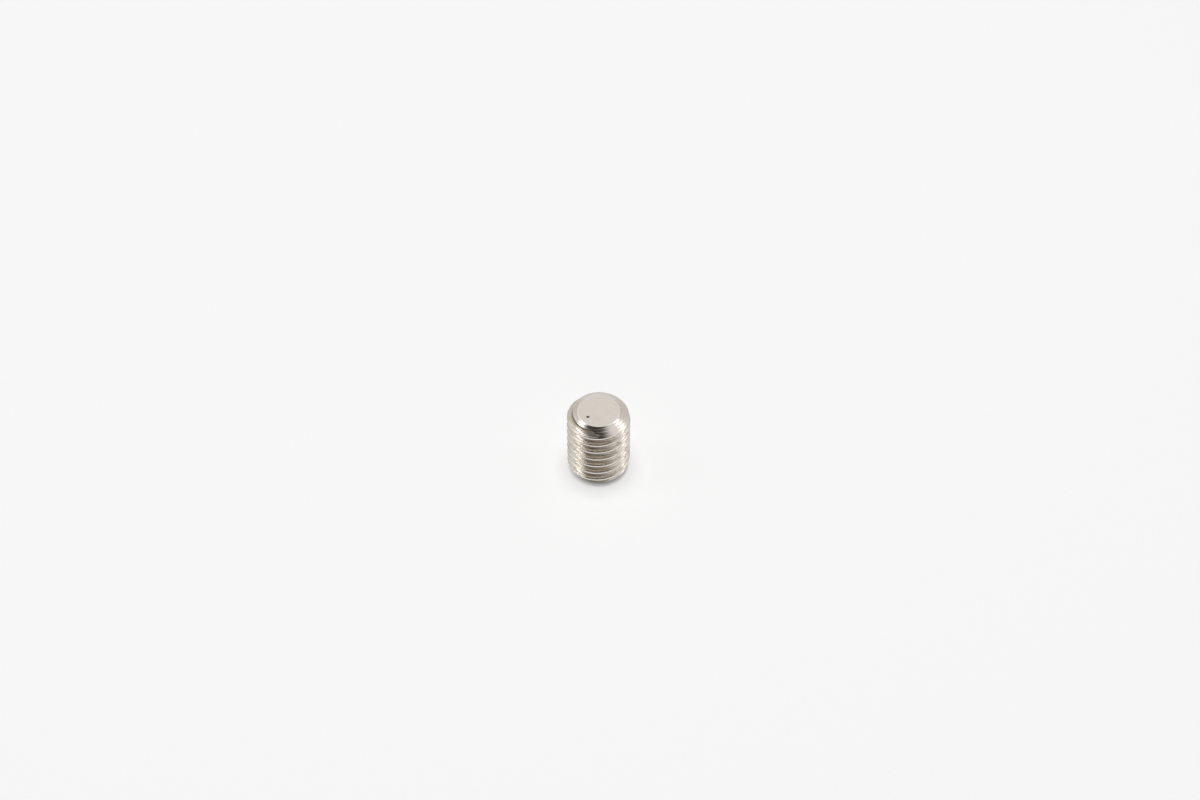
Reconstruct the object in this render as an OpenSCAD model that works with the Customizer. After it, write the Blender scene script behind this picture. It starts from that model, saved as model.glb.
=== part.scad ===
// Grub set screw with a flat point, a hexagon socket and an M6 coarse right-hand thread.
// It stands on its socket end with the flat point up. The Z axis is its middle line.
// Sizes are in millimetres.

/* [Shank] */
// Diameter over the thread crests
crest_d = 5.95; // [5.6:0.05:8]
// Full length, from the socket end to the flat point
length = 7.8; // [6.5:0.1:16]

/* [Thread] */
// Distance from one crest to the next, along the screw
pitch = 1; // [0.75:0.05:1.25]
// Height of a groove's middle above the socket end, at the front, in pitches
groove_height = 0.658; // [0:0.001:1]

/* [Ends] */
// Diameter of the flat point
point_d = 3.9; // [3:0.05:4.6]
// How far the flat ring at the socket end stays inside the thread's root, all round
end_inset = 0.11; // [0.05:0.01:0.3]
// Slope of the chamfer round the flat point, measured from the point's face
point_angle = 30; // [20:1:50]
// Slope of the chamfer round the socket end, measured from the end face
end_angle = 45; // [30:1:50]

/* [Socket] */
// Width of the hexagon across its flats
socket_af = 3.05; // [2.4:0.01:3.7]
// Depth of the hexagon's flats below the socket end
socket_depth = 3.5; // [2:0.1:4.5]
// How far the countersink at the mouth reaches past the hexagon's corners
mouth_margin = 0.09; // [0.02:0.01:0.2]
// Included angle of the countersink and of the drilled bottom
cone_angle = 120; // [100:1:140]

/* [Hidden] */
$fn = 96;

// An ISO metric thread: 60 degree flanks, crests an eighth of a pitch wide, rounded roots
crest_r = crest_d / 2;
flank_angle = 30;
crest_flat = pitch / 8;
root_r = crest_r - 0.61343 * pitch;
root_round = 0.14434 * pitch;
root_arc_depth = 0.54127 * pitch;
root_arc_half = 90 - flank_angle;
turn_steps = 48;
// How far the groove's cutter stands out of the shank, short of its next turn
cutter_out = 0.05 * pitch;
groove_half = (pitch - crest_flat) / 2 + cutter_out * tan(flank_angle);

// The two ends. The flat ring stays inside the thread's root, so no groove reaches it
point_r = point_d / 2;
end_r = root_r - end_inset;
point_chamfer = (crest_r - point_r) * tan(point_angle);
end_chamfer = (crest_r - end_r) * tan(end_angle);

// The socket. Its countersink leaves some of the flat ring standing
corner_r = socket_af / 2 / cos(30);
mouth_r = min(corner_r + mouth_margin, end_r - 0.05);
drill_r = socket_af / 2;
cone_slope = 1 / tan(cone_angle / 2);
// How far the cutting shapes run past the end faces
over = 0.75 * pitch;

// The turned bar before threading, with a chamfer at each end
module blank() {
    rotate_extrude()
        polygon([
            [0, 0],
            [end_r, 0],
            [crest_r, end_chamfer],
            [crest_r, length - point_chamfer],
            [point_r, length],
            [0, length]
        ]);
}

// The groove's section, as [depth below the crests, height from its middle]
root_arc = [
    for (a = [-root_arc_half : root_arc_half / 2 : root_arc_half])
        [
            root_arc_depth + root_round * (cos(a) - cos(root_arc_half)),
            root_round * sin(a)
        ]
];
groove_section = concat(
    [[-cutter_out, -groove_half]],
    root_arc,
    [[-cutter_out, groove_half]]
);

// The thread's groove, swept round the screw from below one end to above the other
module groove() {
    count = len(groove_section);
    // the sweep starts at 0 degrees, clear of the socket end, and the front is at 270 degrees
    first = (groove_height - 0.75 - ceil(groove_height)) * pitch;
    steps = ceil((length + over - first) / pitch * turn_steps);
    points = [
        for (i = [0 : steps])
            for (p = groove_section)
                let (a = i * 360 / turn_steps)
                    [
                        (crest_r - p[0]) * cos(a),
                        (crest_r - p[0]) * sin(a),
                        first + i * pitch / turn_steps + p[1]
                    ]
    ];
    sides = [
        for (i = [0 : steps - 1])
            for (k = [0 : count - 1])
                let (
                    a = i * count + k,
                    b = i * count + (k + 1) % count,
                    c = a + count,
                    d = b + count
                )
                    each [[a, d, b], [a, c, d]]
    ];
    first_cap = [for (k = [0 : count - 1]) k];
    last_cap = [for (k = [0 : count - 1]) steps * count + count - 1 - k];
    polyhedron(points, concat(sides, [first_cap, last_cap]), convexity = 12);
}

// The hexagon with its drilled bottom, and the countersink that opens its mouth
module socket() {
    translate([0, 0, -over])
        rotate([0, 0, 30])
            cylinder(h = socket_depth + over, r = corner_r, $fn = 6);
    translate([0, 0, socket_depth])
        cylinder(h = drill_r * cone_slope, r1 = drill_r, r2 = 0);
    translate([0, 0, -over])
        cylinder(h = mouth_r * cone_slope + over, r1 = mouth_r + over / cone_slope, r2 = 0);
}

module set_screw() {
    color([0.78, 0.76, 0.73])
        difference() {
            blank();
            groove();
            socket();
        }
}

set_screw();
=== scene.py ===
import math
import random

import bpy
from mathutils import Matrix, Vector


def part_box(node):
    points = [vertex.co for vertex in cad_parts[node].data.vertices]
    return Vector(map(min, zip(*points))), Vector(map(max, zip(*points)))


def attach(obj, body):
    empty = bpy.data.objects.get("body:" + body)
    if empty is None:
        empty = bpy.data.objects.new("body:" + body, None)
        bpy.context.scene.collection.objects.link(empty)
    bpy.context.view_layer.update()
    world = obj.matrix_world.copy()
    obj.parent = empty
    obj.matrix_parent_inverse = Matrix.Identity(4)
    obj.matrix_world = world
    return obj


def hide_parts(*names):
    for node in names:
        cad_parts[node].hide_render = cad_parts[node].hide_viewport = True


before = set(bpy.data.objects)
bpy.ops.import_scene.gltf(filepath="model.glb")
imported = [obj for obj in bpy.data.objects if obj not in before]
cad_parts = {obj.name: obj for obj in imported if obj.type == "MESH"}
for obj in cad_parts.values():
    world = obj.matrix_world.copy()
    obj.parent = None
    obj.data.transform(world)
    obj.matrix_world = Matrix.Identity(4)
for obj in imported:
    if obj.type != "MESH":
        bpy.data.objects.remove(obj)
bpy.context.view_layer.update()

MM = 0.001

# ---------------------------------------------------------------- sizes, in millimetres

SCREW_LOW, SCREW_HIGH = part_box("set_screw")
LENGTH = (SCREW_HIGH.z - SCREW_LOW.z) / MM
CREST_D = 5.95
PITCH = 1.0
GROOVE_HEIGHT = 0.658       # middle of a groove at the front, in pitches
POINT_D = 3.9
END_INSET = 0.11            # how far the flat ring at the socket end stays inside the root
POINT_ANGLE = math.radians(30)
END_ANGLE = math.radians(45)
SOCKET_AF = 3.05
SOCKET_DEPTH = 3.5
MOUTH_MARGIN = 0.09         # how far the countersink reaches past the hexagon's corners
CONE_ANGLE = math.radians(120)

# the metric thread's own form, in pitches
FLANK_ANGLE = math.radians(30)
THREAD_DEPTH = 0.61343
CREST_FLAT = 1 / 8
ROOT_ARC = 0.14434          # radius of the rounded root

CREST_R = CREST_D / 2
ROOT_R = CREST_R - THREAD_DEPTH * PITCH
POINT_R = POINT_D / 2
END_R = ROOT_R - END_INSET
POINT_CHAMFER = (CREST_R - POINT_R) * math.tan(POINT_ANGLE)
END_CHAMFER = (CREST_R - END_R) * math.tan(END_ANGLE)
HEX_SIDES = 6
HEX_TURN = math.radians(30)                 # turns a pair of flats to face along X
HEX_CORNER = 1 / math.cos(HEX_TURN)         # corner over half the width across flats
MOUTH_R = SOCKET_AF / 2 * HEX_CORNER + MOUTH_MARGIN
CONE_SLOPE = 1 / math.tan(CONE_ANGLE / 2)

# roundings that cutting and handling leave on the edges
POINT_ROUND = 0.07
END_ROUND = 0.06
CREST_ROUND = 0.08
ROOT_ROUND = ROOT_ARC * PITCH
SOCKET_ROUND = 0.08
FILLET_STEPS = 4

# rings that the lathe's tool leaves on the point chamfer
RINGS = 3
RING_DEPTH = 0.016
RING_DEPTHS = (0.5, 1.0)    # the shallowest and the deepest ring, as shares of that depth
RING_STEPS = 8              # flat steps across one ring
RING_SEED = 3
RING_MARGIN = 0.13          # plain chamfer left at each end of the rings, as a share of its width

SHARP_EDGE = math.radians(33)               # an edge that turns more than this stays sharp

COLUMNS = 240               # flat steps in one turn of the thread
SOCKET_COLUMNS = 192        # and in one turn of the countersink and the drilled bottom
WELD = 0.0005               # corners closer than this become one
WIND_WELD = WELD / 5        # the same for a shape on its own, before it is cut
FRONT = 0.75                # where the front is, in turns from the X axis
HALF = 0.5                  # keeps a test on whole numbers clear of rounding errors

# the groove's cutter outside the crest
CUTTER_LIP = 0.003          # how far its edge stands off the crest
CUTTER_OUTSIDE = 0.3        # how far it reaches out
CUTTER_EDGE = 0.49          # half its width there, in pitches

# the socket's cutters
OVER = 0.75                 # how far one runs past the face it cuts
DRILL_SHARE = 0.49          # the drill's radius over the width across flats
DRILL_OVERLAP = 0.3         # how far above the hexagon's bottom the drill's cutter starts

# a small pit in the flat point, filled with dark residue and cut with a flattened ball
PIT_PLACE = (-1.0, -0.75)
PIT_SIZE = (0.17, 0.125, 0.06)              # the ball's half sizes
PIT_RAISE = 0.3             # its middle's height over the face, as a share of its half height
PIT_SUBDIVISIONS = 4

# a shallow hollow that the die leaves along each flank of the thread
HOLLOW_DEPTH = 0.028
HOLLOW_START, HOLLOW_END = 0.08, 0.66       # as shares of the flank's width, from the crest
HOLLOW_STEPS = 6

# which tool made a face
TURNED, THREADED, BROACHED, PITTED = range(4)


# ---------------------------------------------------------------- node helpers

def add_node(tree, kind, inputs=None, **settings):
    """Adds a node, sets its options, and links or sets its named inputs."""
    node = tree.nodes.new(kind)
    for name, value in settings.items():
        setattr(node, name, value)
    for key, value in (inputs or {}).items():
        put(tree, node.inputs[key], value)
    return node


def put(tree, socket, value):
    """Links a socket to another, or gives it a plain value."""
    if isinstance(value, Num):
        value = value.socket
    if isinstance(value, bpy.types.NodeSocket):
        tree.links.new(value, socket)
    else:
        socket.default_value = value


class Num:
    """A number in a node tree that ordinary arithmetic works on."""

    def __init__(self, tree, socket):
        self.tree, self.socket = tree, socket

    def math(self, operation, *others):
        node = self.tree.nodes.new("ShaderNodeMath")
        node.operation = operation
        for socket, value in zip(node.inputs, (self, *others)):
            put(self.tree, socket, value)
        return Num(self.tree, node.outputs[0])

    def __add__(self, other): return self.math("ADD", other)
    def __sub__(self, other): return self.math("SUBTRACT", other)
    def __mul__(self, other): return self.math("MULTIPLY", other)
    def __truediv__(self, other): return self.math("DIVIDE", other)
    def __neg__(self): return self.math("MULTIPLY", -1.0)
    def __rsub__(self, other): return (-self) + other
    def __rtruediv__(self, other): return self.math("POWER", -1.0) * other
    def wrap(self, other): return self.math("FLOORED_MODULO", other)
    def floor(self): return self.math("FLOOR")
    def ceil(self): return self.math("CEIL")
    def sin(self): return self.math("SINE")
    def cos(self): return self.math("COSINE")
    def size(self): return self.math("ABSOLUTE")
    def above(self, other): return self.math("GREATER_THAN", other)
    def below(self, other): return self.math("LESS_THAN", other)
    def equals(self, other): return self.math("COMPARE", other, HALF)

    def ease(self, low, high):
        """0 below low, 1 above high and a smooth step between. Low may be the larger of the two."""
        node = add_node(self.tree, "ShaderNodeMapRange", interpolation_type="SMOOTHSTEP")
        for label, value in (("Value", self), ("From Min", low), ("From Max", high)):
            put(self.tree, node.inputs[label], value)
        return Num(self.tree, node.outputs[0])


NUMBERS = ("NodeSocketFloat", "NodeSocketInt")
SWITCH_ITEMS = 2            # items that a new Index Switch starts with


def new_group(kind, name, inputs, outputs):
    """A node group with named inputs. Returns it, its inputs by name and its output node."""
    tree = bpy.data.node_groups.new(name, kind)
    for label, socket_kind, value in inputs:
        socket = tree.interface.new_socket(label, in_out="INPUT", socket_type=socket_kind)
        if value is not None:
            socket.default_value = value
    for label, socket_kind in outputs:
        tree.interface.new_socket(label, in_out="OUTPUT", socket_type=socket_kind)
    start, end = tree.nodes.new("NodeGroupInput"), tree.nodes.new("NodeGroupOutput")
    given = {}
    for label, socket_kind, _ in inputs:
        socket = start.outputs[label]
        given[label] = Num(tree, socket) if socket_kind in NUMBERS else socket
    return tree, given, end


def use_group(tree, group, inputs=None):
    """Places a node group in a tree and fills its inputs."""
    kind = "GeometryNodeGroup" if tree.bl_idname == "GeometryNodeTree" else "ShaderNodeGroup"
    node = tree.nodes.new(kind)
    node.node_tree = group
    for label, value in (inputs or {}).items():
        put(tree, node.inputs[label], value)
    return node


def out(node, label):
    """A node's output as a number."""
    return Num(node.id_data, node.outputs[label])


# ---------------------------------------------------------------- the screw's own shape

def rounded(tree, curve, radius):
    """Rounds a curve's corners."""
    fillet = add_node(tree, "GeometryNodeFilletCurve", mode="POLY")
    for label, value in (("Curve", curve), ("Count", FILLET_STEPS), ("Radius", radius),
                         ("Limit Radius", True)):
        put(tree, fillet.inputs[label], value)
    return fillet.outputs[0]


def section_curve(tree, corners, closed):
    """A section drawn corner by corner as (radius, height, rounding), with its corners rounded."""
    line = add_node(tree, "GeometryNodeMeshLine", {"Count": len(corners)})
    index = tree.nodes.new("GeometryNodeInputIndex").outputs[0]
    places = add_node(tree, "GeometryNodeIndexSwitch", data_type="VECTOR")
    rounds = add_node(tree, "GeometryNodeIndexSwitch", data_type="FLOAT")
    for switch in (places, rounds):
        for _ in range(len(corners) - SWITCH_ITEMS):
            switch.index_switch_items.new()
        put(tree, switch.inputs["Index"], index)
    for i, (radius, height, rounding) in enumerate(corners):
        point = add_node(tree, "ShaderNodeCombineXYZ", {"X": radius, "Z": height})
        put(tree, places.inputs[str(i)], point.outputs[0])
        put(tree, rounds.inputs[str(i)], rounding)
    placed = add_node(tree, "GeometryNodeSetPosition",
                      {"Geometry": line.outputs[0], "Position": places.outputs[0]})
    curve = add_node(tree, "GeometryNodeMeshToCurve", {"Mesh": placed.outputs[0]})
    cyclic = add_node(tree, "GeometryNodeSetSplineCyclic",
                      {"Geometry": curve.outputs[0], "Cyclic": closed})
    return rounded(tree, cyclic.outputs[0], rounds.outputs[0])


def wind_group():
    """Winds a section round the Z axis, rising by a pitch each turn, or as on a lathe if that is 0."""
    tree, given, end = new_group("GeometryNodeTree", "wind round axis", [
        ("Section", "NodeSocketGeometry", None),
        ("Closed Section", "NodeSocketInt", 0),
        ("Columns", "NodeSocketInt", COLUMNS),
        ("Steps", "NodeSocketInt", COLUMNS),
        ("Pitch", "NodeSocketFloat", 0.0),
        ("Start Height", "NodeSocketFloat", 0.0),
        ("End Radius", "NodeSocketFloat", 0.0),
        ("Pointed Ends", "NodeSocketInt", 0),
    ], [("Geometry", "NodeSocketGeometry")])
    size = add_node(tree, "GeometryNodeAttributeDomainSize", {"Geometry": given["Section"]},
                    component="CURVE")
    count = out(size, "Point Count")
    rows = count + given["Closed Section"]
    grid = add_node(tree, "GeometryNodeMeshGrid", {
        "Size X": 1.0, "Size Y": 1.0, "Vertices X": given["Steps"] + 1, "Vertices Y": rows})
    index = Num(tree, tree.nodes.new("GeometryNodeInputIndex").outputs[0])
    column = ((index + HALF) / rows).floor()
    row = index - column * rows
    position = tree.nodes.new("GeometryNodeInputPosition").outputs[0]
    sample = add_node(tree, "GeometryNodeSampleIndex", data_type="FLOAT_VECTOR", domain="POINT")
    put(tree, sample.inputs["Geometry"], given["Section"])
    put(tree, sample.inputs["Value"], position)
    put(tree, sample.inputs["Index"], (row + HALF).wrap(count).floor())
    parts = add_node(tree, "ShaderNodeSeparateXYZ", {"Vector": sample.outputs[0]})
    radius, height = out(parts, "X"), out(parts, "Z")
    at_end = (column.below(HALF) + column.above(given["Steps"] - HALF)) * given["Pointed Ends"]
    radius = radius + (given["End Radius"] - radius) * at_end
    height = height - height * at_end
    turn = column / given["Columns"]
    angle = turn * math.tau
    place = add_node(tree, "ShaderNodeCombineXYZ", {
        "X": radius * angle.cos(), "Y": radius * angle.sin(),
        "Z": height + given["Start Height"] + turn * given["Pitch"]})
    moved = add_node(tree, "GeometryNodeSetPosition",
                     {"Geometry": grid.outputs["Mesh"], "Position": place.outputs[0]})
    merged = add_node(tree, "GeometryNodeMergeByDistance",
                      {"Geometry": moved.outputs[0], "Distance": WIND_WELD})
    put(tree, end.inputs[0], merged.outputs[0])
    return tree


def made_by(tree, shape, tool):
    """Writes on each face which tool made it."""
    return add_node(tree, "GeometryNodeStoreNamedAttribute",
                    {"Geometry": shape, "Name": "tool", "Value": tool},
                    data_type="INT", domain="FACE").outputs[0]


def ring_corners(given):
    """The rings on the point chamfer, as corners of the bar's section from the crest inwards."""
    depths = random.Random(RING_SEED)
    corners = []
    for ring in range(RINGS):
        depth = given["Ring Depth"] * depths.uniform(*RING_DEPTHS)
        for step in range(RING_STEPS):
            share = (ring + step / RING_STEPS) / RINGS * (1 - 2 * RING_MARGIN) + RING_MARGIN
            sunk = depth * (0.5 - 0.5 * math.cos(math.tau * step / RING_STEPS))
            radius = given["Crest Radius"] - (given["Crest Radius"] - given["Point Radius"]) * share
            height = given["Length"] - given["Point Chamfer"] * (1 - share)
            corners.append((radius - sunk * math.sin(POINT_ANGLE),
                            height - sunk * math.cos(POINT_ANGLE), 0.0))
    return corners


def bar_shape(tree, wind, given):
    """The turned bar, with a chamfer at each end."""
    crest, length = given["Crest Radius"], given["Length"]
    section = section_curve(tree, [
        (0.0, 0.0, 0.0),
        (given["End Radius"], 0.0, given["End Rounding"]),
        (crest, given["End Chamfer"], given["End Rounding"]),
        (crest, length - given["Point Chamfer"], given["Point Rounding"]),
        *ring_corners(given),
        (given["Point Radius"], length, given["Point Rounding"]),
        (0.0, length, 0.0),
    ], False)
    bar = use_group(tree, wind, {
        "Section": section, "Columns": given["Columns"], "Steps": given["Columns"]})
    return bar.outputs[0]


def hollow_corners(given, half, tip, side):
    """The hollow along a flank, as corners of the groove's section from the crest inwards."""
    corners = []
    for step in range(HOLLOW_STEPS + 1):
        along = step / HOLLOW_STEPS
        share = HOLLOW_START + (HOLLOW_END - HOLLOW_START) * along
        sunk = given["Hollow Depth"] * math.sin(math.pi * along) ** 2
        radius = given["Crest Radius"] + (tip - given["Crest Radius"]) * share
        radius = radius - sunk * math.sin(FLANK_ANGLE)
        height = half * (1 - share) + sunk * math.cos(FLANK_ANGLE)
        corners.append((radius, height * side, 0.0))
    return corners if side > 0 else corners[::-1]


def groove_shape(tree, wind, given):
    """The thread's groove. Its corners curl over on to the crests, so the crests come out rounded."""
    crest, pitch = given["Crest Radius"], given["Pitch"]
    half, edge = pitch * ((1 - CREST_FLAT) / 2), pitch * CUTTER_EDGE
    tip = crest - half / math.tan(FLANK_ANGLE)
    section = section_curve(tree, [
        (crest + CUTTER_OUTSIDE, edge, 0.0),
        (crest + CUTTER_LIP, edge, 0.0),
        (crest, half, given["Crest Rounding"]),
        *hollow_corners(given, half, tip, 1),
        (tip, 0.0, given["Root Rounding"]),
        *hollow_corners(given, half, tip, -1),
        (crest, -half, given["Crest Rounding"]),
        (crest + CUTTER_LIP, -edge, 0.0),
        (crest + CUTTER_OUTSIDE, -edge, 0.0),
    ], True)
    # it starts on the X axis, below the screw, and winds up past the point
    first = (given["Groove Height"] - FRONT - given["Groove Height"].ceil()) * pitch
    steps = ((given["Length"] + pitch - first) / pitch * given["Columns"]).ceil()
    groove = use_group(tree, wind, {
        "Section": section, "Closed Section": 1, "Columns": given["Columns"], "Steps": steps,
        "Pitch": pitch, "Start Height": first, "End Radius": crest, "Pointed Ends": 1})
    return groove.outputs[0]


def socket_shapes(tree, wind, given):
    """The hexagon, its drilled bottom and the countersink at its mouth."""
    depth, mouth = given["Socket Depth"], given["Socket Mouth Radius"]
    hexagon = add_node(tree, "GeometryNodeCurvePrimitiveCircle",
                       {"Resolution": HEX_SIDES, "Radius": given["Socket Flats"] * (HEX_CORNER / 2)})
    profile = rounded(tree, hexagon.outputs[0], given["Socket Rounding"])
    top = add_node(tree, "ShaderNodeCombineXYZ", {"Z": depth})
    path = add_node(tree, "GeometryNodeCurvePrimitiveLine",
                    {"Start": (0, 0, -OVER), "End": top.outputs[0]})
    prism = add_node(tree, "GeometryNodeCurveToMesh", {
        "Curve": path.outputs[0], "Profile Curve": profile, "Fill Caps": True})
    turned = add_node(tree, "GeometryNodeTransform", {
        "Geometry": prism.outputs[0], "Rotation": (0, 0, HEX_TURN)})
    drill_r = given["Socket Flats"] * DRILL_SHARE
    cutters = [turned.outputs[0]]
    for corners in ([
        (0.0, depth - DRILL_OVERLAP, 0.0),
        (drill_r, depth - DRILL_OVERLAP, 0.0),
        (drill_r, depth, 0.0),
        (0.0, depth + drill_r * CONE_SLOPE, 0.0),
    ], [
        (0.0, -OVER, 0.0),
        (mouth + OVER / CONE_SLOPE, -OVER, 0.0),
        (0.0, mouth * CONE_SLOPE, 0.0),
    ]):
        cutters.append(use_group(tree, wind, {
            "Columns": SOCKET_COLUMNS, "Steps": SOCKET_COLUMNS,
            "Section": section_curve(tree, corners, False)}).outputs[0])
    return cutters


def pit_shape(tree, given):
    """The shallow pit in the flat point."""
    ball = add_node(tree, "GeometryNodeMeshIcoSphere",
                    {"Radius": 1.0, "Subdivisions": PIT_SUBDIVISIONS})
    place = add_node(tree, "ShaderNodeCombineXYZ", {
        "X": PIT_PLACE[0], "Y": PIT_PLACE[1], "Z": given["Length"] + PIT_SIZE[2] * PIT_RAISE})
    return add_node(tree, "GeometryNodeTransform", {
        "Geometry": ball.outputs[0], "Translation": place.outputs[0], "Scale": PIT_SIZE}).outputs[0]


def screw_group(materials):
    """The whole screw: a turned bar, drawn in millimetres, with its groove, pit and socket cut away."""
    wind = wind_group()
    tree, given, end = new_group("GeometryNodeTree", "set screw", [
        ("Length", "NodeSocketFloat", LENGTH),
        ("Crest Radius", "NodeSocketFloat", CREST_R),
        ("Point Radius", "NodeSocketFloat", POINT_R),
        ("End Radius", "NodeSocketFloat", END_R),
        ("Point Chamfer", "NodeSocketFloat", POINT_CHAMFER),
        ("End Chamfer", "NodeSocketFloat", END_CHAMFER),
        ("Pitch", "NodeSocketFloat", PITCH),
        ("Groove Height", "NodeSocketFloat", GROOVE_HEIGHT),
        ("Columns", "NodeSocketInt", COLUMNS),
        ("Point Rounding", "NodeSocketFloat", POINT_ROUND),
        ("Ring Depth", "NodeSocketFloat", RING_DEPTH),
        ("End Rounding", "NodeSocketFloat", END_ROUND),
        ("Crest Rounding", "NodeSocketFloat", CREST_ROUND),
        ("Root Rounding", "NodeSocketFloat", ROOT_ROUND),
        ("Hollow Depth", "NodeSocketFloat", HOLLOW_DEPTH),
        ("Socket Flats", "NodeSocketFloat", SOCKET_AF),
        ("Socket Depth", "NodeSocketFloat", SOCKET_DEPTH),
        ("Socket Mouth Radius", "NodeSocketFloat", MOUTH_R),
        ("Socket Rounding", "NodeSocketFloat", SOCKET_ROUND),
        ("Sharp Edge Angle", "NodeSocketFloat", SHARP_EDGE),
    ], [("Geometry", "NodeSocketGeometry")])
    bar = made_by(tree, bar_shape(tree, wind, given), TURNED)
    cutters = [made_by(tree, groove_shape(tree, wind, given), THREADED),
               made_by(tree, pit_shape(tree, given), PITTED)]
    cutters += [made_by(tree, shape, BROACHED) for shape in socket_shapes(tree, wind, given)]
    cut = add_node(tree, "GeometryNodeMeshBoolean", operation="DIFFERENCE", solver="MANIFOLD")
    put(tree, cut.inputs["Mesh 1"], bar)
    for shape in cutters:
        put(tree, cut.inputs["Mesh 2"], shape)
    welded = add_node(tree, "GeometryNodeMergeByDistance",
                      {"Geometry": cut.outputs[0], "Distance": WELD})

    smooth = add_node(tree, "GeometryNodeSetShadeSmooth",
                      {"Geometry": welded.outputs[0], "Shade Smooth": True}, domain="FACE")
    angle = out(tree.nodes.new("GeometryNodeInputMeshEdgeAngle"), "Unsigned Angle")
    creased = add_node(tree, "GeometryNodeSetShadeSmooth", {
        "Geometry": smooth.outputs[0], "Selection": angle.above(given["Sharp Edge Angle"]),
        "Shade Smooth": False}, domain="EDGE")
    sized = add_node(tree, "GeometryNodeTransform",
                     {"Geometry": creased.outputs[0], "Scale": (MM, MM, MM)})
    shape = add_node(tree, "GeometryNodeRealizeInstances", {"Geometry": sized.outputs[0]}).outputs[0]
    tool = add_node(tree, "GeometryNodeInputNamedAttribute", {"Name": "tool"}, data_type="INT")
    for number, material in enumerate(materials):
        shape = add_node(tree, "GeometryNodeSetMaterial", {
            "Geometry": shape, "Selection": Num(tree, tool.outputs[0]).equals(number),
            "Material": material}).outputs[0]
    put(tree, end.inputs[0], shape)
    return tree


def plain_mesh(name, group):
    """Runs a node group once and keeps what it makes as a plain mesh."""
    holder = bpy.data.objects.new(name + "_maker", bpy.data.meshes.new(name + "_maker"))
    bpy.context.scene.collection.objects.link(holder)
    maker = holder.modifiers.new("maker", "NODES")
    maker.node_group = group
    normals = holder.modifiers.new("normals", "WEIGHTED_NORMAL")
    normals.keep_sharp = True
    bpy.context.view_layer.update()
    made = holder.evaluated_get(bpy.context.evaluated_depsgraph_get())
    mesh = bpy.data.meshes.new_from_object(made)
    mesh.name = name
    bpy.data.objects.remove(holder)
    return mesh


# ---------------------------------------------------------------- steel finishes

def noise(tree, vector, scale, detail=2.0, roughness=0.5):
    """A smooth random value from 0 to 1."""
    node = add_node(tree, "ShaderNodeTexNoise", {
        "Vector": vector, "Scale": scale, "Detail": detail, "Roughness": roughness})
    return Num(tree, node.outputs[0])


# a Mix node's sockets for colours, by number, because their names are on more than one
MIX_INPUTS = (0, 6, 7)
MIX_OUTPUT = 2


def mixed(tree, factor, first, second):
    """The first colour where the factor is 0, the second where it is 1."""
    node = tree.nodes.new("ShaderNodeMix")
    node.data_type = "RGBA"
    for number, value in zip(MIX_INPUTS, (factor, first, second)):
        put(tree, node.inputs[number], value)
    return node.outputs[MIX_OUTPUT]


# how the shared effects vary
LINE_DRIFT = 0.6            # waves in the tool's lines, per millimetre
BROAD_LINES = 0.22          # the bands that dull them, as a share of their number
DULL_BAND = (0.35, 0.7)     # noise at which a band starts and is full
WEAR_AND_HIGHLIGHT_SPREAD = 1.4           # how far past its width the wear and painted highlight on an edge can reach
FILM_PATCH = (0.42, 0.72)   # noise at which a patch of film starts and is full
GRAIN = 28.0                # specks of dust, per millimetre


def place_group():
    """Where a point is on the screw, in millimetres."""
    tree, _, end = new_group("ShaderNodeTree", "place on screw", [], [
        ("Place", "NodeSocketVector"), ("Radius", "NodeSocketFloat"), ("Height", "NodeSocketFloat")])
    source = tree.nodes.new("ShaderNodeTexCoord").outputs["Object"]
    place = add_node(tree, "ShaderNodeVectorMath", {"Vector": source, "Scale": 1 / MM},
                     operation="SCALE").outputs[0]
    parts = add_node(tree, "ShaderNodeSeparateXYZ", {"Vector": place})
    x, y = out(parts, "X"), out(parts, "Y")
    put(tree, end.inputs["Place"], place)
    put(tree, end.inputs["Radius"], (x * x + y * y).math("SQRT"))
    put(tree, end.inputs["Height"], parts.outputs["Z"])
    return tree


def tool_marks_group():
    """Fine lines left by a cutting edge, long one way and close together the other."""
    tree, given, end = new_group("ShaderNodeTree", "tool marks", [
        ("Place", "NodeSocketVector", None),
        ("Across", "NodeSocketFloat", 0.0),
        ("Spacing", "NodeSocketFloat", 0.05),
        ("Length", "NodeSocketFloat", 3.0),
    ], [("Height", "NodeSocketFloat"), ("Dullness", "NodeSocketFloat")])
    drift = noise(tree, given["Place"], LINE_DRIFT) * given["Spacing"]
    line = (given["Across"] + drift) / given["Spacing"]
    parts = add_node(tree, "ShaderNodeSeparateXYZ", {"Vector": given["Place"]})
    along = [out(parts, axis) / given["Length"] for axis in "XY"]
    fine = add_node(tree, "ShaderNodeCombineXYZ", {"X": line, "Y": along[0], "Z": along[1]})
    broad = add_node(tree, "ShaderNodeCombineXYZ",
                     {"X": line * BROAD_LINES, "Y": along[0], "Z": along[1]})
    put(tree, end.inputs["Height"], noise(tree, fine.outputs[0], 1.0, detail=3.0))
    put(tree, end.inputs["Dullness"], noise(tree, broad.outputs[0], 1.0).ease(*DULL_BAND))
    return tree


def edge_wear_group():
    """Where handling has rubbed an edge bright, with a painted highlight along it, broken up along its
    length.
    """
    tree, given, end = new_group("ShaderNodeTree", "edge wear", [
        ("Place", "NodeSocketVector", None),
        ("Distance", "NodeSocketFloat", 1.0),
        ("Width", "NodeSocketFloat", 0.06),
        ("Patch Size", "NodeSocketFloat", 0.4),
    ], [("Mask", "NodeSocketFloat")])
    broken = noise(tree, given["Place"], 1.0 / given["Patch Size"], detail=3.0) * WEAR_AND_HIGHLIGHT_SPREAD
    put(tree, end.inputs["Mask"], given["Distance"].ease(given["Width"] * broken, 0.0))
    return tree


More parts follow.
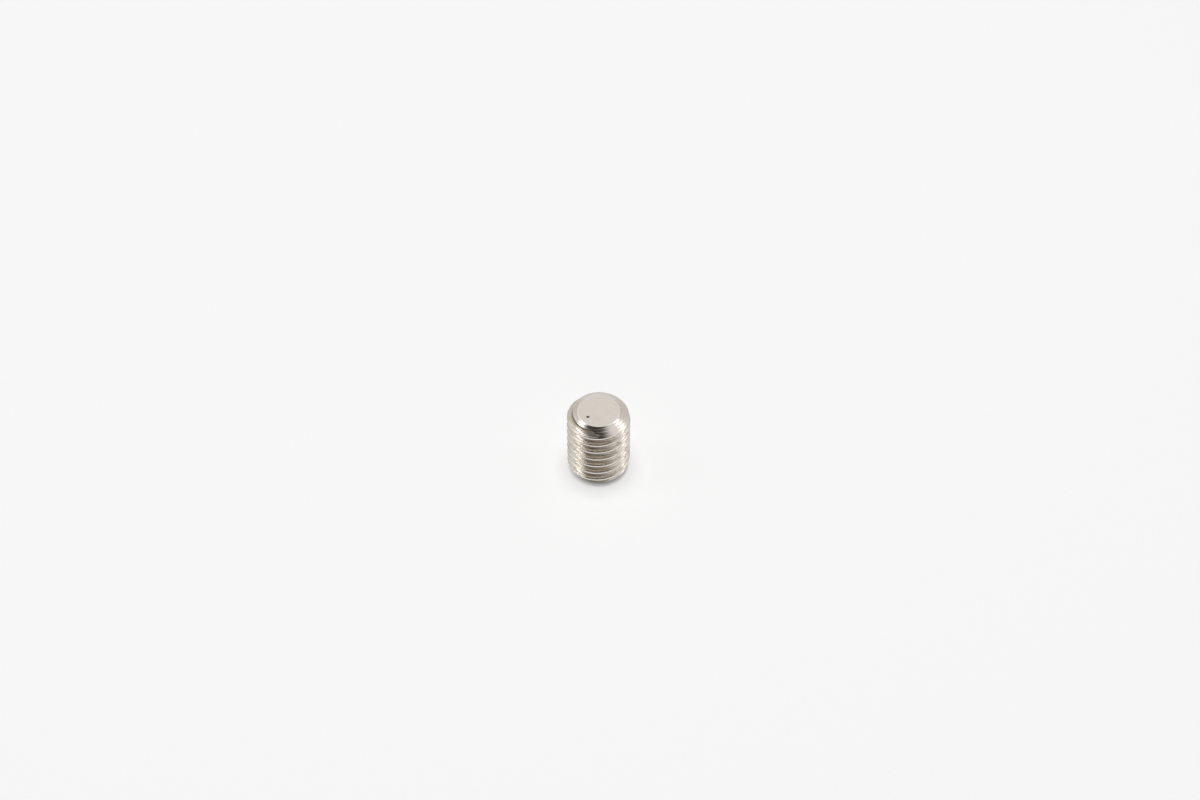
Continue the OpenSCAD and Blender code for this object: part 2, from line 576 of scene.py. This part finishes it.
def film_group():
    """Patches of thin oil and dust that dull the metal and warm its colour."""
    tree, given, end = new_group("ShaderNodeTree", "oil and dust film", [
        ("Place", "NodeSocketVector", None),
        ("Patch Size", "NodeSocketFloat", 1.0),
        ("Amount", "NodeSocketFloat", 0.5),
    ], [("Mask", "NodeSocketFloat"), ("Grain", "NodeSocketFloat")])
    patches = noise(tree, given["Place"], 1.0 / given["Patch Size"], detail=4.0, roughness=0.6)
    put(tree, end.inputs["Mask"], patches.ease(*FILM_PATCH) * given["Amount"])
    put(tree, end.inputs["Grain"], noise(tree, given["Place"], GRAIN))
    return tree


STEEL = (0.66, 0.613, 0.56, 1)
# the next colour is edge wear and a painted highlight: it brightens the rims and the crests
WORN_AND_HIGHLIGHT_STEEL = (0.80, 0.76, 0.71, 1)
FILMED_STEEL = (0.6, 0.548, 0.485, 1)
THREAD_STEEL = (0.66, 0.61, 0.54, 1)
FILMED_THREAD = (0.54, 0.455, 0.34, 1)
# the next colour paints the shade in the thread's root, and is also the colour of dirt in the socket and
# the pit
ROOT_SHADE_AND_DIRT = (0.22, 0.175, 0.115, 1)
SOCKET_STEEL = (0.5, 0.46, 0.41, 1)
RESIDUE = (0.02, 0.017, 0.011, 1)

# lines that each tool leaves, in millimetres
LATHE_LINES = {"Spacing": 0.045, "Length": 8.0}
LATHE_CHATTER = {"Spacing": 0.3, "Length": 12.0}
DIE_LINES = {"Spacing": 0.04, "Length": 12.0}
DIE_RIDGES = {"Spacing": 0.22, "Length": 14.0}
BROACH_LINES = {"Spacing": 0.06, "Length": 2.5}
BROACH_SLANT = 0.6          # lets lines across Y show as well as lines across X

# wear with its painted highlight, and film, on each finish, with sizes in millimetres
TURNED_WEAR_AND_HIGHLIGHT = {"Width": 0.09}
THREAD_WEAR_AND_HIGHLIGHT = {"Width": 0.07, "Patch Size": 0.6}
TURNED_FILM = {"Patch Size": 1.2, "Amount": 0.35}
THREAD_FILM = {"Patch Size": 0.7, "Amount": 0.6}
SOCKET_FILM = {"Patch Size": 0.8, "Amount": 0.8}
PIT_FILM = {"Patch Size": 0.05, "Amount": 0.5}

# roughness that the tool's lines and the film add, and that of the clean metal
TURNED_ROUGHNESS = (0.05, 0.12, 0.13)
THREAD_ROUGHNESS = (0.06, 0.14, 0.15)
SOCKET_ROUGHNESS = (0.12, 0.15, 0.28)
ROOT_ROUGHNESS = 0.12       # added in the thread's root
PIT_ROUGHNESS = (0.2, 0.55)                 # added by film, and without it

# shares of the thread's metal that film covers, that the painted shade in the root covers, and covered
# all over
THREAD_COVER = (0.32, 0.25, 0.12)
ROOT_SHADE_REACH = 0.3            # how far out of the root the painted shade comes
CHATTER_REACH = 0.15        # how far past the flat point's edge the lathe's chatter is full

# relief in millimetres, and the shares of it that fine lines, grain and chatter take
TURNED_RELIEF, TURNED_LINES, TURNED_GRAIN, TURNED_CHATTER = 0.02, 0.1, 0.03, 0.6
THREAD_RELIEF, THREAD_LINES, THREAD_GRAIN = 0.014, 0.15, 0.03
SOCKET_RELIEF = 0.006
PIT_RELIEF = 0.01


def new_steel(name):
    """A material of bare metal, with its node tree and its shader."""
    material = bpy.data.materials.new(name)
    material.use_nodes = True
    shader = material.node_tree.nodes["Principled BSDF"]
    shader.inputs["Metallic"].default_value = 1.0
    return material, material.node_tree, shader


def roughness(marks, film, from_marks, from_film, clean):
    """How rough metal is where its tool's lines and the film dull it."""
    return out(marks, "Dullness") * from_marks + out(film, "Mask") * from_film + clean


def bumped(tree, shader, height, relief):
    """Raises the surface by height times relief, which is in millimetres."""
    bump = add_node(tree, "ShaderNodeBump", {"Strength": 1.0, "Distance": relief * MM, "Height": height})
    put(tree, shader.inputs["Normal"], bump.outputs[0])


def turned_steel(groups):
    """The two end faces, the chamfers and the crests: rings left by the lathe, edges rubbed bright by
    wear, with a painted highlight.
    """
    material, tree, shader = new_steel("turned_steel")
    spot = use_group(tree, groups["place"])
    place, radius = spot.outputs["Place"], out(spot, "Radius")
    marks = use_group(tree, groups["marks"], {"Place": place, "Across": radius, **LATHE_LINES})
    at_point = out(spot, "Height").above(LENGTH / 2)
    face_edge = at_point * (POINT_R - END_R) + END_R
    # edge wear with a painted highlight: the rims of the flat point, the foot and the crests are painted
    # brighter
    rim = (radius - face_edge).size().math("MINIMUM", (CREST_R - radius).size())
    wear_and_highlight = use_group(tree, groups["wear_and_highlight"], {"Place": place, "Distance": rim, **TURNED_WEAR_AND_HIGHLIGHT})
    film = use_group(tree, groups["film"], {"Place": place, **TURNED_FILM})
    colour = mixed(tree, film.outputs["Mask"], STEEL, FILMED_STEEL)
    colour = mixed(tree, wear_and_highlight.outputs["Mask"], colour, WORN_AND_HIGHLIGHT_STEEL)
    put(tree, shader.inputs["Base Color"], colour)
    put(tree, shader.inputs["Roughness"], roughness(marks, film, *TURNED_ROUGHNESS))
    rings = use_group(tree, groups["marks"], {"Place": place, "Across": radius, **LATHE_CHATTER})
    chatter = out(rings, "Height") * radius.ease(POINT_R, POINT_R + CHATTER_REACH) * TURNED_CHATTER
    height = out(marks, "Height") * TURNED_LINES + out(film, "Grain") * TURNED_GRAIN + chatter
    bumped(tree, shader, height, TURNED_RELIEF)
    return material


def threaded_steel(groups):
    """The thread's flanks and roots: lines that follow the thread, painted shade that darkens the root,
    and crest edges rubbed bright by wear, with a painted highlight.
    """
    material, tree, shader = new_steel("threaded_steel")
    spot = use_group(tree, groups["place"])
    place, radius = spot.outputs["Place"], out(spot, "Radius")
    marks = use_group(tree, groups["marks"], {"Place": place, "Across": radius, **DIE_LINES})
    # edge wear with a painted highlight: the crests are painted brighter
    wear_and_highlight = use_group(tree, groups["wear_and_highlight"], {"Place": place, "Distance": CREST_R - radius, **THREAD_WEAR_AND_HIGHLIGHT})
    film = use_group(tree, groups["film"], {"Place": place, **THREAD_FILM})
    # painted shade: towards the root the thread is painted darker, browner and less metallic, standing
    # in for the shade between the flanks
    root = radius.ease(ROOT_R + ROOT_SHADE_REACH, ROOT_R)
    colour = mixed(tree, film.outputs["Mask"], THREAD_STEEL, FILMED_THREAD)
    colour = mixed(tree, root, colour, ROOT_SHADE_AND_DIRT)
    colour = mixed(tree, wear_and_highlight.outputs["Mask"], colour, WORN_AND_HIGHLIGHT_STEEL)
    put(tree, shader.inputs["Base Color"], colour)
    dull = roughness(marks, film, *THREAD_ROUGHNESS)
    put(tree, shader.inputs["Roughness"], dull + root * ROOT_ROUGHNESS)
    by_film, by_root_shade, all_over = THREAD_COVER
    covered = out(film, "Mask") * by_film + root * by_root_shade + all_over
    put(tree, shader.inputs["Metallic"], 1.0 - covered)
    ridges = use_group(tree, groups["marks"], {"Place": place, "Across": radius, **DIE_RIDGES})
    height = out(marks, "Height") * THREAD_LINES + out(film, "Grain") * THREAD_GRAIN
    bumped(tree, shader, height + out(ridges, "Height"), THREAD_RELIEF)
    return material


def broached_steel(groups):
    """The hexagon socket: lines along its depth, duller and darker than the outside."""
    material, tree, shader = new_steel("broached_steel")
    spot = use_group(tree, groups["place"])
    place = spot.outputs["Place"]
    parts = add_node(tree, "ShaderNodeSeparateXYZ", {"Vector": place})
    deep = add_node(tree, "ShaderNodeCombineXYZ", {"X": parts.outputs["Z"]})
    across = out(parts, "X") + out(parts, "Y") * BROACH_SLANT
    marks = use_group(tree, groups["marks"], {
        "Place": deep.outputs[0], "Across": across, **BROACH_LINES})
    film = use_group(tree, groups["film"], {"Place": place, **SOCKET_FILM})
    put(tree, shader.inputs["Base Color"], mixed(tree, film.outputs["Mask"], SOCKET_STEEL, ROOT_SHADE_AND_DIRT))
    put(tree, shader.inputs["Roughness"], roughness(marks, film, *SOCKET_ROUGHNESS))
    bumped(tree, shader, marks.outputs["Height"], SOCKET_RELIEF)
    return material


def pit_residue(groups):
    """Dark dried residue in the small pit."""
    material, tree, shader = new_steel("pit_residue")
    shader.inputs["Metallic"].default_value = 0.0
    spot = use_group(tree, groups["place"])
    film = use_group(tree, groups["film"], {"Place": spot.outputs["Place"], **PIT_FILM})
    put(tree, shader.inputs["Base Color"], mixed(tree, film.outputs["Mask"], RESIDUE, ROOT_SHADE_AND_DIRT))
    from_film, clean = PIT_ROUGHNESS
    put(tree, shader.inputs["Roughness"], out(film, "Mask") * from_film + clean)
    bumped(tree, shader, film.outputs["Grain"], PIT_RELIEF)
    return material


def make_screw():
    """The one visible piece, which stands for the CAD's set screw."""
    groups = {"place": place_group(), "marks": tool_marks_group(),
              "wear_and_highlight": edge_wear_group(), "film": film_group()}
    finishes = [make(groups) for make in (turned_steel, threaded_steel, broached_steel, pit_residue)]
    mesh = plain_mesh("set_screw_body", screw_group(finishes))
    screw = bpy.data.objects.new("set_screw_body", mesh)
    bpy.context.scene.collection.objects.link(screw)
    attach(screw, "root")
    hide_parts("set_screw")


# ---------------------------------------------------------------- camera, floor and light

CAMERA_ELEVATION = math.radians(49.7)
CAMERA_DISTANCE = 260.0     # in millimetres, as are the aim and the field
CAMERA_AIM = (0.132, 0.0, 9.35)
FIELD_WIDTH = 111.4         # width of what the camera sees at the distance of its aim
SENSOR_WIDTH = 36.0
CLIP = (0.005, 5.0)         # in metres

FLOOR_REACH = 2.0           # from the screw to the floor's edges, in metres
FLOOR_COLOUR = (0.5, 0.5, 0.5, 1)
FLOOR_ROUGHNESS = 0.9
FLOOR_GLOSS = 0.1
FLOOR_GLOW = (0.54, 0.54, 0.54, 1)          # the light that a lit table gives the floor from below
CONTACT_REACH = 0.45        # how far round the screw's foot a painted contact shadow darkens that glow, in millimetres
CONTACT_SAMPLES = 4

ROOM_LIGHT = (1.0, 1.0, 1.0, 1)
ROOM_LOW = (0.77, 0.77, 0.77, 1)            # near the floor
ROOM_LOW_EDGE = (0.72, 0.35)                # heights in the room where that starts and is full
ROOM_GAP = (0.045, 0.039, 0.031, 1)
ROOM_STRENGTH = 1.0
GAP_MIDDLE = (-0.155, -0.3)                 # where the dark gap overhead is, as its direction's X and Y
GAP_REACH = (0.46, 0.32)
GAP_EDGE = (1.5, 0.7)                       # where it starts and is full, as shares of its reach

SOFTBOXES = {               # name: direction, distance, width and height in metres, brightness
    "left_softbox": ((-0.68, 0.02, 0.72), 0.5, 0.11, 0.26, 1.85),
    "right_softbox": ((0.71, 0.14, 0.68), 0.5, 0.11, 0.24, 1.12),
}
# this one lights the floor and isn't mirrored in the steel
OVERHEAD = ((0.0, 0.05, 1.0), 0.8, 0.34, 0.34, 12.9)


def make_camera():
    """The camera, in front of the screw and looking down at it."""
    data = bpy.data.cameras.new("camera")
    data.sensor_width = SENSOR_WIDTH
    data.lens = SENSOR_WIDTH * CAMERA_DISTANCE / FIELD_WIDTH
    data.clip_start, data.clip_end = CLIP
    camera = bpy.data.objects.new("camera", data)
    bpy.context.scene.collection.objects.link(camera)
    back = Vector((0, -math.cos(CAMERA_ELEVATION), math.sin(CAMERA_ELEVATION)))
    camera.location = (Vector(CAMERA_AIM) + back * CAMERA_DISTANCE) * MM
    camera.rotation_mode = "QUATERNION"
    camera.rotation_quaternion = (-back).to_track_quat("-Z", "Y")
    bpy.context.scene.camera = camera


def make_floor():
    """A plain white floor. Part of its light is its own glow, and a painted contact shadow darkens that
    glow round the screw's foot.
    """
    mesh = bpy.data.meshes.new("floor")
    reach = FLOOR_REACH
    corners = [(-reach, -reach, 0), (reach, -reach, 0), (reach, reach, 0), (-reach, reach, 0)]
    mesh.from_pydata(corners, [], [(0, 1, 2, 3)])
    floor = bpy.data.objects.new("floor", mesh)
    bpy.context.scene.collection.objects.link(floor)
    white = bpy.data.materials.new("floor_white")
    white.use_nodes = True
    tree = white.node_tree
    shader = tree.nodes["Principled BSDF"]
    shader.inputs["Base Color"].default_value = FLOOR_COLOUR
    shader.inputs["Roughness"].default_value = FLOOR_ROUGHNESS
    shader.inputs["Specular IOR Level"].default_value = FLOOR_GLOSS
    # painted contact shadow: ambient occlusion darkens the floor's glow round the screw's foot
    painted_contact_shadow = add_node(tree, "ShaderNodeAmbientOcclusion", {
        "Color": FLOOR_GLOW, "Distance": CONTACT_REACH * MM}, samples=CONTACT_SAMPLES)
    put(tree, shader.inputs["Emission Color"], painted_contact_shadow.outputs["Color"])
    shader.inputs["Emission Strength"].default_value = 1.0
    mesh.materials.append(white)


def make_room():
    """Even white light from all round, with a dark gap overhead, a little in front."""
    world = bpy.data.worlds.new("room")
    bpy.context.scene.world = world
    world.use_nodes = True
    tree = world.node_tree
    source = tree.nodes.new("ShaderNodeTexCoord").outputs["Generated"]
    parts = add_node(tree, "ShaderNodeSeparateXYZ", {"Vector": source})
    x, y, z = (out(parts, axis) for axis in "XYZ")
    across = (x - GAP_MIDDLE[0]) / GAP_REACH[0]
    along = (y - GAP_MIDDLE[1]) / GAP_REACH[1]
    gap = (across * across + along * along).math("SQRT").ease(*GAP_EDGE) * z.above(0.0)
    light = tree.nodes["Background"]
    room = mixed(tree, z.ease(*ROOM_LOW_EDGE), ROOM_LIGHT, ROOM_LOW)
    put(tree, light.inputs["Color"], mixed(tree, gap, room, ROOM_GAP))
    light.inputs["Strength"].default_value = ROOM_STRENGTH
    world.cycles_visibility.diffuse = False


def make_softbox(name, direction, distance, width, height, brightness):
    """A flat box of light that faces the screw. The camera doesn't see it."""
    data = bpy.data.lights.new(name, "AREA")
    data.shape = "RECTANGLE"
    data.size, data.size_y = width, height
    data.energy = brightness * math.pi * width * height
    light = bpy.data.objects.new(name, data)
    bpy.context.scene.collection.objects.link(light)
    towards = Vector(direction).normalized()
    light.location = towards * distance
    light.rotation_mode = "QUATERNION"
    light.rotation_quaternion = (-towards).to_track_quat("-Z", "Y")
    light.visible_camera = False
    return light


make_screw()
make_camera()
make_floor()
make_room()
for box_name, box in SOFTBOXES.items():
    make_softbox(box_name, *box)
overhead = make_softbox("overhead_softbox", *OVERHEAD)
overhead.visible_glossy = False
bpy.context.scene.view_settings.view_transform = "Standard"
